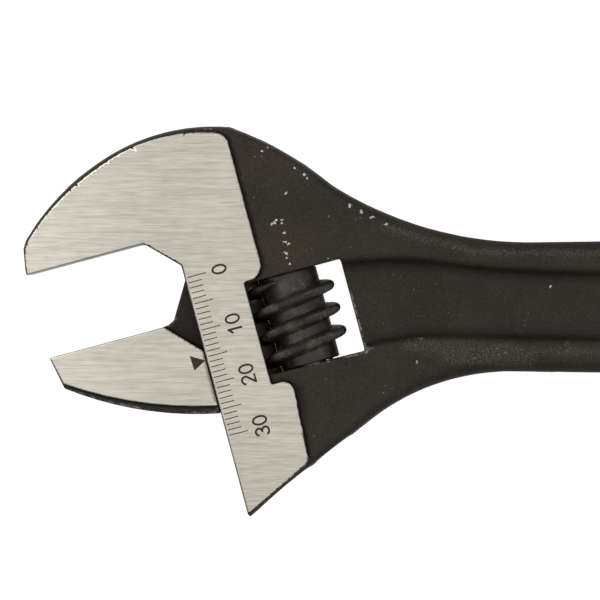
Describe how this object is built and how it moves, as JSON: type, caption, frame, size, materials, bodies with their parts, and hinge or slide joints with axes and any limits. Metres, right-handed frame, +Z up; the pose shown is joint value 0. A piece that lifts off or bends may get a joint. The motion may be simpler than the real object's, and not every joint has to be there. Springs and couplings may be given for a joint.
{
  "type": "adjustable wrench",
  "caption": "Adjustable wrench: forged body with a fixed jaw and hanging hole, and a sliding jaw that a knurled worm opens and closes.",
  "frame": {"origin": "on the surface the wrench lies on, under the middle of its bounding box", "axes": "+X along the handle from the jaws to the hanging hole, +Z up through the thickness; the jaws open along (0.2588, -0.9659, 0)"},
  "size_m": [0.255, 0.0726, 0.016],
  "materials": {
    "black_forging": "matte",
    "ground_steel": "satin",
    "black_worm": "matte",
    "pin_steel": "satin",
    "spring_steel": "satin"
  },
  "bodies": {
    "frame": {"body": "black_forging", "worm_pin": "pin_steel", "worm_spring": "spring_steel"},
    "jaw": {"moving_jaw": "ground_steel"},
    "worm": {"worm": "black_worm"}
  },
  "joints": [
    {"name": "jaw_slide", "type": "slide", "parent": "frame", "child": "jaw", "axis": [0.2588, -0.9659, 0], "range_m": [-0.01555, 0.01525]},
    {"name": "worm_spin", "type": "hinge", "parent": "frame", "child": "worm", "pos_m": [-0.07646, 0.00082, 0.008], "axis": [-0.2588, 0.9659, 0], "range_deg": [-1282, 1257]}
  ],
  "couplings": [
    {"joint": "jaw_slide", "follows": "worm_spin", "m_per_rad": 0.00069232}
  ]
}
